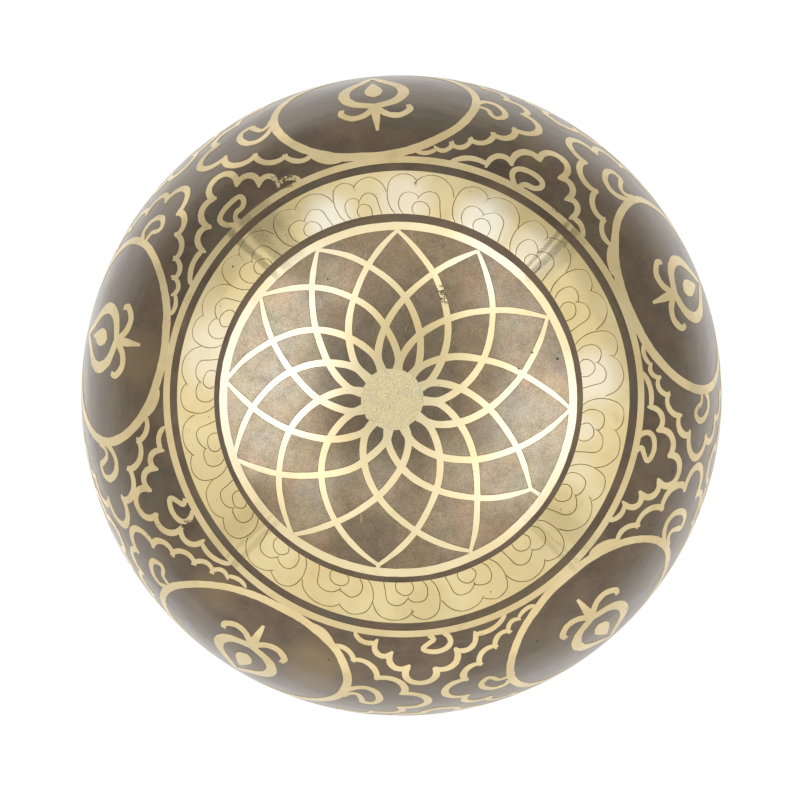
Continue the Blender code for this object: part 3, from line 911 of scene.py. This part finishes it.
def petal_band():
    """Raised band whose fine petal lines are real V-shaped grooves."""
    lines = petal_lines()
    tree = groove_finder(lines)
    verts, tris = band_mesh(lines, tree)
    bm = bmesh.new()
    cut = bm.verts.layers.float.new("cut")
    made, rims = [], {0: [], 1: []}
    for x, y in verts:
        v = y / BAND_W
        p = band_point(x, v)
        gap = tree.find((*p, 0.0))[2]
        depth = GROOVE_DEPTH * max(0.0, 1.0 - gap / GROOVE_HALF)
        made.append(bm.verts.new(place(*p, depth)))
        made[-1][cut] = depth / GROOVE_DEPTH
        if v < 1e-5 or v > 1.0 - 1e-5:
            rims[round(v)].append((x, len(made) - 1, depth))
    for t in tris:
        bm.faces.new([made[i] for i in t])
    for side, rim in rims.items():
        way = 2 * side - 1
        chain = []
        for x, index, depth in sorted(rim):
            az = x / LAYOUT_R
            s = band_edges(az)[side]
            edge = bm.verts.new(place(*polar(s + way * EDGE_RUN, az), depth + EDGE_DROP))
            foot = bm.verts.new(place(*polar(s + way * WALL_RUN, az), FOOT))
            chain.append((made[index], edge, foot))
        for a, b in zip(chain, chain[1:]):
            for i in (0, 1):
                bm.faces.new((a[i], a[i + 1], b[i + 1], b[i]))
    bmesh.ops.remove_doubles(bm, verts=bm.verts, dist=0.004 * MM)
    bmesh.ops.bridge_loops(bm, edges=[e for e in bm.edges if e.is_boundary])
    bmesh.ops.recalc_face_normals(bm, faces=bm.faces)
    return finish_mesh("petal_band_look", bm, [BAND], SHARP_DEG)


# ---- line work

# Motifs in millimetres: (x, s, stroke width), and for scallops the rise of the arc to the next point.
MOUND = (
    (-21.4, 47.0, 0.9, 1.0), (-12.6, 48.8, 1.0, 1.7), (-7.4, 51.3, 1.15, 2.1), (-2.1, 55.4, 1.4, 4.7),
    (4.0, 54.2, 1.3, 2.0), (8.1, 51.0, 1.15, 1.8), (11.9, 48.5, 1.0, 1.0), (17.4, 47.0, 0.9, 0.0))
CURL = (
    (-5.0, 46.8, 0.9), (-6.2, 48.0, 0.95), (-6.3, 49.4, 1.0), (-5.0, 50.5, 1.05), (-2.6, 50.9, 1.05),
    (-0.2, 50.4, 1.0), (0.2, 49.7, 0.95), (-1.3, 48.7, 0.9), (-2.5, 48.0, 0.9), (-1.5, 47.0, 1.0))
CURL_WIDE = (
    (-4.0, 46.8, 0.9), (-5.7, 48.3, 1.0), (-6.0, 49.7, 1.05), (-4.6, 50.9, 1.05), (-1.75, 51.3, 1.05),
    (0.9, 50.8, 1.05), (1.6, 49.6, 1.05), (0.3, 48.5, 1.0), (-2.2, 48.15, 1.0), (-3.2, 47.0, 1.0))
CURL_TALL = (
    (-2.4, 47.1, 0.9), (-4.2, 48.6, 0.95), (-4.4, 50.2, 1.0), (-3.0, 51.1, 1.0), (-0.75, 51.5, 1.0),
    (2.5, 51.4, 0.95), (3.0, 50.1, 1.0), (1.7, 49.0, 0.95), (-0.3, 49.0, 0.9), (-1.5, 48.1, 0.9),
    (-1.3, 46.9, 1.2))
LOWER_CURLS = (CURL_WIDE, CURL_TALL, CURL, CURL, CURL)
CLOUD_LEFT = (
    (-9.2, 48.3, 0.9, 1.1), (-16.2, 51.2, 0.95, 1.3), (-21.6, 53.6, 1.0, 1.9), (-27.3, 57.9, 1.2, 2.8),
    (-32.8, 64.0, 1.45, 5.2), (-32.3, 72.4, 1.4, 2.8), (-27.0, 78.0, 1.2, 1.9), (-21.6, 82.2, 1.0, 1.3),
    (-16.2, 84.6, 0.95, 1.1), (-9.2, 87.5, 0.9, 0.0))
CLOUD_RIGHT = (
    (8.6, 48.6, 0.8, 0.8), (13.9, 49.4, 0.8, 0.9), (17.2, 51.0, 0.85, 1.2), (21.3, 53.1, 0.95, 1.5),
    (25.8, 56.4, 1.1, 1.9), (29.6, 60.6, 1.35, 4.3), (30.0, 69.2, 1.3, 2.4), (25.9, 74.8, 1.15, 1.9),
    (21.4, 79.5, 1.0, 1.5), (17.2, 83.0, 0.9, 1.1), (13.9, 85.6, 0.8, 0.8), (8.6, 87.4, 0.8, 0.0))
SIDE_CURL_LEFT = (
    (-20.9, 65.6, 1.3), (-23.0, 63.0, 1.35), (-25.4, 62.3, 1.4), (-27.5, 64.0, 1.4), (-28.2, 67.3, 1.35),
    (-27.2, 70.1, 1.25), (-25.2, 70.4, 1.2), (-24.7, 68.3, 1.1), (-23.7, 66.0, 1.05), (-22.0, 66.4, 1.1),
    (-20.8, 68.6, 1.2))
SIDE_CURL_RIGHT = (
    (20.9, 67.0, 1.1), (22.1, 68.9, 1.15), (24.2, 69.0, 1.2), (26.1, 67.0, 1.2), (26.6, 64.4, 1.2),
    (25.2, 62.6, 1.15), (23.9, 63.3, 1.0), (23.0, 65.0, 0.95), (21.0, 65.4, 0.9))
# Right half of the bud and its heart, a leaf and the stem; x runs from the middle of a medallion.
BUD = (
    (0.0, 80.2, 0.9), (2.1, 76.0, 1.5), (5.1, 71.6, 2.0), (5.9, 67.2, 2.2), (4.2, 63.4, 2.1),
    (0.0, 61.3, 1.9))
BUD_HEART = ((0.0, 74.6), (1.0, 71.9), (1.7, 69.2), (1.3, 67.0), (0.0, 65.9))
BUD_LEAF = ((0.3, 60.6, 1.4), (2.4, 58.3, 1.5), (5.2, 57.9, 1.5), (7.2, 59.7, 1.3), (6.9, 61.6, 0.9))
BUD_STEM = ((0.0, 61.4, 2.0), (0.0, 57.6, 1.5), (0.0, 53.6, 0.5))


def flipped(points):
    """A lower motif turned half round, to hang from the collar ring with a slightly longer lobe."""
    return tuple((-p[0] - 0.8, 88.8 - (p[1] - 47.0) * 1.09) + tuple(p[2:]) for p in points)


def scalloped(points, side, az0, seed):
    """Scallops in a row, each its own stroke, whose ends cross in small spurs."""
    tris = []
    for i, (a, b) in enumerate(zip(points, points[1:])):
        over = 0.75 + 0.4 * noise.noise(Vector((seed * 3.1, i * 1.7, 0.5)))
        path = arc(a, b, a[3], side, 0.05 if i in (0, len(points) - 2) else over)
        tris += wall_stroke(path, az0, seed=seed)
    return tris


def round_medallion(az0, lean, seed):
    path = []
    for k in range(220):
        t = math.tau * k / 220
        s = MEDALLION_S + MEDALLION_H * math.sin(t)
        grow = profile(s)[0] / LAYOUT_R
        x = MEDALLION_W * math.cos(t) / grow + lean * math.sin(t)
        path.append((x, s, MEDALLION_STROKE * (1.0 + 0.08 * math.cos(t + seed))))
    return wall_stroke(path, az0, closed=True, seed=seed, wander=0.22)


def ring_stroke(s_of, width, seed):
    """Triangles of a ring that runs all the way round the bowl."""
    pairs = []
    for az in map(math.radians, range(360)):
        s = s_of(az)
        w = 0.5 * width * (1.0 + 0.07 * noise.noise(Vector((*polar(3.0, az), seed))))
        pairs.append((polar(s - w, az), polar(s + w, az)))
    return strip(pairs, True)


def emblem(az0, number):
    """Plain bud with a heart, two leaves and a stem."""
    half = smooth(BUD, 0.35)
    whole = half + [(-x, s, w) for x, s, w in reversed(half[1:-1])]
    seed = 20.0 + number
    tris = wall_stroke(whole, az0, closed=True, seed=seed)
    for way in (1.0, -1.0):
        tris += wall_stroke([(way * x, s, w) for x, s, w in smooth(BUD_LEAF, 0.35)], az0, seed=seed)
    tris += wall_stroke(smooth(BUD_STEM, 0.35), az0, seed=seed)
    heart = smooth(BUD_HEART, 0.35)
    heart += [(-x, s) for x, s in reversed(heart[1:-1])]
    tris.append([unroll(x, s, az0) for x, s in heart])
    return tris


# An arm's steps from tip to hub, the step from which it is softened, and how often.
ARM_STEPS = 64
BEND = 48
SOFTENED = 7


def lotus_arm(tip, bow, hub, seed):
    """Spiral arm from a petal tip to the hub, then straight in to the disc."""
    path = []
    hub_az = hub[0] + 360.0 * round((tip[0] - hub[0]) / 360.0)
    for k in range(ARM_STEPS + 1):
        f = k / ARM_STEPS
        az = math.radians(tip[0] + (hub_az - tip[0]) * f + bow * math.sin(math.pi * f))
        r = tip[1] + (hub[1] - tip[1]) * f
        width = 0.6 + 0.5 * min(1.0, f / 0.14) + 0.2 * min(1.0, max(0.0, (f - 0.3) / 0.4))
        path.append((*polar(r, az), width))
    x, y, _ = path[-1]
    foot_x, foot_y = (a - b for a, b in zip(DISC_OFFSET, LOTUS_OFFSET))
    away = math.hypot(x - foot_x, y - foot_y)
    inner = DISC_R - 0.6
    for k in range(1, 7):
        f = k / 6 * (1.0 - inner / away)
        path.append((x + (foot_x - x) * f, y + (foot_y - y) * f, 1.3 + 0.6 * k / 6))
    for _ in range(SOFTENED):
        path[BEND:-1] = [tuple(0.25 * a + 0.5 * b + 0.25 * c for a, b, c in zip(*path[i - 1:i + 2]))
                         for i in range(BEND, len(path) - 1)]
    return flat_stroke(path, seed=seed, wander=0.2)


def lotus():
    """Twelve-petal lattice: two spiral arms sweep in from every tip."""
    tris = []
    count = len(LOTUS_TIPS)
    for i, tip in enumerate(LOTUS_TIPS):
        tris += lotus_arm(tip, tip[2], LOTUS_HUBS[i], 40.0 + i)
        tris += lotus_arm(tip, tip[3], LOTUS_HUBS[(i - 4) % count], 60.0 + i)
        if tip[1] < RING_R - 1.0:
            reaches = (tip[1] - 0.3, tip[1] + 0.6, RING_R - 0.9)
            stub = [(*polar(r, math.radians(tip[0])), 0.7) for r in reaches]
            tris += flat_stroke(stub, seed=80.0 + i, wander=0.0)
    return tris


def disc_outline():
    rim = []
    for k in range(160):
        az = math.tau * k / 160
        where = Vector((*polar(1.0, az), 0.0))
        r = DISC_R * (1.0 + 0.04 * noise.noise(1.6 * where + Vector((0.0, 0.0, 4.0))))
        r += 0.16 * noise.noise(9.0 * where)
        x, y = polar(r, az)
        rim.append((DISC_OFFSET[0] + x, DISC_OFFSET[1] + y))
    return [rim]


# Depths of the flat tops; they differ so that pieces that cross never share a face.
TOPS = dict(
    base_disc=0.0, lotus_lattice=0.012, lotus_ring=0.004, shoulder_ring=0.0, collar_ring=0.07,
    medallion_ring=0.006, medallion_emblem=0.006, cloud_left=0.018, cloud_right=0.018, side_curl_left=0.024,
    side_curl_right=0.024, lower_mound=0.012, lower_curl=0.024, upper_mound=0.012, upper_curl=0.024)
RING_W = 1.3
SHOULDER_S = 46.5
COLLAR_S = 89.15


def raise_piece(node, polys, mat=LINE, skirt=1.0):
    """Raises one CAD node's drawing and ties it to that node."""
    top = TOPS[node.rstrip("_12345")]
    dress(relief(f"{node}_look", polys, mat, top, skirt), node)


def build_line_work():
    turns = [math.tau * k / 300 for k in range(300)]
    wide, narrow = RING_R + RING_OVAL, RING_R - RING_OVAL
    lotus_ring = [(wide * math.cos(t), narrow * math.sin(t), 1.5) for t in turns]
    shoulder_turn = math.radians(22.0)
    raise_piece("base_disc", disc_outline(), DISC)
    raise_piece("lotus_lattice", lotus(), LOTUS, skirt=1.8)
    ring = flat_stroke(lotus_ring, closed=True, seed=90.0, shift=RING_OFFSET)
    raise_piece("lotus_ring", ring, LOTUS)
    ring = ring_stroke(lambda az: SHOULDER_S + 0.28 * math.cos(az + shoulder_turn), RING_W, seed=1.0)
    raise_piece("shoulder_ring", ring)
    raise_piece("collar_ring", ring_stroke(lambda az: COLLAR_S, RING_W, seed=2.0))
    for i, (deg, lean) in enumerate(zip(MEDALLION_DEG, MEDALLION_LEAN), 1):
        az = math.radians(deg)
        raise_piece(f"medallion_ring_{i}", round_medallion(az, lean, float(i)))
        raise_piece(f"medallion_emblem_{i}", emblem(az, i))
        raise_piece(f"cloud_left_{i}", scalloped(CLOUD_LEFT, 1.0, az, 5.0 + i))
        raise_piece(f"cloud_right_{i}", scalloped(CLOUD_RIGHT, -1.0, az, 10.0 + i))
        raise_piece(f"side_curl_left_{i}", wall_stroke(smooth(SIDE_CURL_LEFT), az, seed=15.0 + i))
        raise_piece(f"side_curl_right_{i}", wall_stroke(smooth(SIDE_CURL_RIGHT), az, seed=15.5 + i))
    for i, (deg, curl) in enumerate(zip(MOUND_DEG, LOWER_CURLS), 1):
        az = math.radians(deg)
        raise_piece(f"lower_mound_{i}", scalloped(MOUND, 1.0, az, 25.0 + i))
        raise_piece(f"lower_curl_{i}", wall_stroke(smooth(curl), az, seed=30.0 + i))
        raise_piece(f"upper_mound_{i}", scalloped(flipped(MOUND), 1.0, az, 35.0 + i))
        raise_piece(f"upper_curl_{i}", wall_stroke(smooth(flipped(CURL)), az, seed=38.0 + i))


# ---- studio

def one_sided_floor():
    """Pale table top that is seen from above only, so that the bowl can be looked at from below."""
    mat, n, shader, out = surface("pale_floor", Roughness=0.85)
    mm = n.millimetres()
    _, reach, _ = n.flat(mm)
    near = n.mix(n.noise(mm, 0.02, 3.0), (0.66, 0.655, 0.645), (0.7, 0.695, 0.685))
    # Paler further from the bowl: painted brightening, so that the table fades into the white backdrop.
    n.fill(shader, Base_Color=n.mix(n.ramp(reach, 250.0, 1200.0), near, (0.96, 0.957, 0.95)))
    back = n.add("ShaderNodeNewGeometry").outputs["Backfacing"]
    n.fill(out, Surface=n.choose(back, shader, n.add("ShaderNodeBsdfTransparent")))
    bm = bmesh.new()
    bmesh.ops.create_grid(bm, x_segments=1, y_segments=1, size=3.0)
    floor = finish_mesh("floor", bm, [mat], SHARP_DEG)
    floor.location.z = -0.02 * MM
    floor.visible_diffuse = False
    floor.visible_glossy = False
    floor.visible_shadow = False


# Brighter and darker panels of the tent: azimuth, half width, nearest and farthest angle from straight
# down, all in degrees, and added light.
TENT_PANELS = (
    (0.0, 400.0, 7.0, 13.0, 0.08), (182.0, 85.0, 7.5, 9.0, 1.0), (-58.0, 32.0, 9.0, 13.0, 0.6),
    (15.0, 60.0, 7.5, 10.5, 0.75), (178.0, 50.0, 18.0, 34.0, 0.06), (-5.0, 50.0, 20.0, 36.0, 0.04),
    (-135.0, 30.0, 30.0, 95.0, -0.3), (-40.0, 50.0, 32.0, 105.0, -0.26),
    (-22.0, 40.0, 110.0, 130.0, -0.22), (178.0, 50.0, 50.0, 95.0, -0.14), (-95.0, 25.0, 50.0, 98.0, -0.12),
    (-80.0, 25.0, 108.0, 130.0, -0.2), (-122.0, 28.0, 112.0, 130.0, 0.16), (90.0, 60.0, 52.0, 98.0, 0.28),
    (30.0, 80.0, 138.0, 148.0, 0.14), (-120.0, 60.0, 138.0, 150.0, -0.06),
    (40.0, 50.0, 152.0, 180.0, -0.1), (-170.0, 90.0, 152.0, 180.0, 0.22))


def tent_world():
    """White light tent: even all round, with soft brighter panels round the camera."""
    world = bpy.data.worlds.new("tent")
    world.use_nodes = True
    bpy.context.scene.world = world
    n = Nodes(world.node_tree)
    way = n.add("ShaderNodeTexCoord").outputs["Generated"]
    x, y, z = n.xyz(way)
    off = n.times(n.math("ARCCOSINE", n.times(z, -1.0)), 180.0 / math.pi)
    turn = n.times(n.math("ARCTAN2", y, x), 180.0 / math.pi)
    light = n.ramp(n.noise(way, 1.3, 1.0), 0.3, 0.7, 0.96, 1.02)
    for middle, reach, near, far, weight in TENT_PANELS:
        gap = n.math("ABSOLUTE", n.math("WRAP", n.minus(turn, middle), 180.0, -180.0))
        span = n.times(n.ramp(off, near - 3.0, near), n.ramp(off, far, far + 4.0, 1.0, 0.0))
        panel = n.times(n.ramp(gap, reach * 0.4, reach, 1.0, 0.0), span)
        light = n.plus(light, n.times(panel, weight))
    seen = n.add("ShaderNodeLightPath").outputs["Is Camera Ray"]
    shell = n.add("ShaderNodeBackground", Color=(1.0, 0.988, 0.962), Strength=light)
    plain = n.add("ShaderNodeBackground", Color=(1.0, 1.0, 1.0), Strength=1.0)
    n.add("ShaderNodeOutputWorld", Surface=n.choose(seen, shell, plain))


def soft_light(name, place_m, size, power):
    lamp = bpy.data.lights.new(name, "AREA")
    lamp.size = size
    lamp.energy = power
    lamp.color = (1.0, 0.985, 0.96)
    ob = link(name, lamp)
    ob.location = place_m
    ob.rotation_euler = (Vector((0.0, 0.0, 0.02)) - Vector(place_m)).to_track_quat("-Z", "Y").to_euler()
    ob.visible_glossy = False


def camera():
    """Long lens under the bowl, nearly on its axis, with the -Y side upwards."""
    data = bpy.data.cameras.new("camera")
    data.lens = 187.9
    data.sensor_width = 36.0
    place_m = Vector((-5.4, -7.6, -810.0)) * MM
    back = (place_m - Vector((-0.54, 0.5, 0.0)) * MM).normalized()
    up = back.cross(Vector((1.0, 0.0, 0.0))).normalized()
    turn = Matrix((up.cross(back), up, back)).transposed()
    ob = link("camera", data)
    ob.matrix_world = Matrix.Translation(place_m) @ turn.to_4x4()
    bpy.context.scene.camera = ob


dress(bowl_body(), "bowl_shell")
dress(petal_band(), "petal_band")
dress(lip_band(), "lip_band")
build_line_work()

one_sided_floor()
tent_world()
soft_light("key", (-0.5, -0.6, 0.9), 0.6, 9.0)
soft_light("fill", (0.7, 0.2, 0.6), 0.6, 3.0)
camera()
bpy.context.scene.view_settings.view_transform = "Standard"
